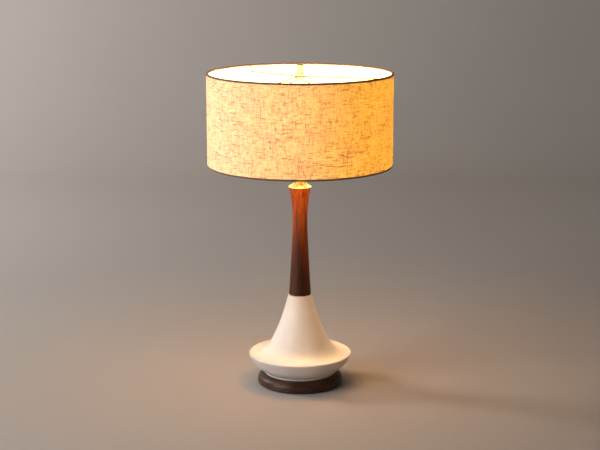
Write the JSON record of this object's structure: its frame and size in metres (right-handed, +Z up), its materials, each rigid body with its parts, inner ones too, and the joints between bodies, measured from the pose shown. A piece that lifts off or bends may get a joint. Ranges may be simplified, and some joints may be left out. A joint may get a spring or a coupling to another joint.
{
  "type": "table lamp",
  "caption": "Table lamp: flared white ceramic body on a round wooden base, waisted wooden neck with a brass cap, and a linen drum shade on a harp.",
  "frame": {"origin": "middle of the foot, on the surface the lamp stands on", "axes": "+Z up along the lamp's axis; the front and the switch knob face -Y, the cord leaves towards +Y, and the harp's legs stand at -X and +X"},
  "size_m": [0.4063, 0.4064, 0.7165],
  "materials": {
    "walnut": "satin lacquer",
    "glaze": "satin glaze",
    "felt": "pressed wool felt",
    "rubber": "matt",
    "bushing_nylon": "moulded",
    "zinc_steel": "zinc plated",
    "brass": "polished and lacquered",
    "card": "fish paper",
    "phenolic": "moulded phenolic",
    "knob_black": "gloss",
    "bulb_white": "inside frosted, glowing",
    "clear_glass": "clear",
    "cap_aluminium": "rolled",
    "black_glass": "glossy black glass",
    "solder": "dull",
    "tungsten": "dull",
    "linen": "slubbed weave",
    "liner": "matt white styrene",
    "shade_steel": "brassed wire"
  },
  "bodies": {
    "lamp": {"base_felt": "felt", "base_disc": "walnut", "cord_bushing": "bushing_nylon", "bottom_washer": "zinc_steel", "bottom_lock_washer": "zinc_steel", "bottom_nut": "brass", "threaded_pipe": "zinc_steel", "foot_gasket": "rubber", "ceramic_body": "glaze", "neck_seating_ring": "rubber", "wood_neck": "walnut", "neck_cap": "brass", "harp_saddle": "brass", "harp_bow": "brass", "harp_seat_stud": "brass", "saddle_locknut": "brass", "socket_cap": "brass", "socket_set_screw": "zinc_steel", "socket_shell": "brass", "socket_insulator": "card", "terminal_screw_hot": "brass", "terminal_screw_neutral": "zinc_steel", "switch_housing": "phenolic", "screw_shell": "brass", "centre_contact": "brass"},
    "shade": {"shade_ring_top": "shade_steel", "shade_ring_bottom": "shade_steel", "shade_liner": "liner", "shade_linen": "linen", "spider_hub": "shade_steel", "spider_arm_1": "shade_steel", "spider_arm_2": "shade_steel", "spider_arm_3": "shade_steel"},
    "finial": {"finial": "brass"},
    "bulb": {"bulb_glass": "bulb_white", "bulb_screw_cap": "cap_aluminium", "bulb_insulator": "black_glass", "bulb_contact": "solder", "bulb_stem": "clear_glass", "bulb_leads": "zinc_steel", "bulb_filament": "tungsten"},
    "switch": {"switch_cam": "phenolic", "switch_shaft": "zinc_steel", "switch_knob": "knob_black"},
    "sleeve_left": {"harp_sleeve_left": "brass"},
    "sleeve_right": {"harp_sleeve_right": "brass"}
  },
  "joints": [
    {"name": "shade_turn", "type": "hinge", "parent": "lamp", "child": "shade", "pos_m": [0, 0, 0.6907], "axis": [0, 0, 1], "continuous": true},
    {"name": "finial_turn", "type": "hinge", "parent": "lamp", "child": "finial", "pos_m": [0, 0, 0.704], "axis": [0, 0, 1], "continuous": true},
    {"name": "bulb_turn", "type": "hinge", "parent": "lamp", "child": "bulb", "pos_m": [0, 0, 0.505], "axis": [0, 0, 1], "continuous": true},
    {"name": "switch_turn", "type": "hinge", "parent": "lamp", "child": "switch", "pos_m": [0, -0.034, 0.482], "axis": [0, -1, 0], "continuous": true},
    {"name": "sleeve_left_lift", "type": "slide", "parent": "lamp", "child": "sleeve_left", "axis": [0, 0, 1], "range_m": [0, 0.012]},
    {"name": "sleeve_right_lift", "type": "slide", "parent": "lamp", "child": "sleeve_right", "axis": [0, 0, 1], "range_m": [0, 0.012]}
  ]
}
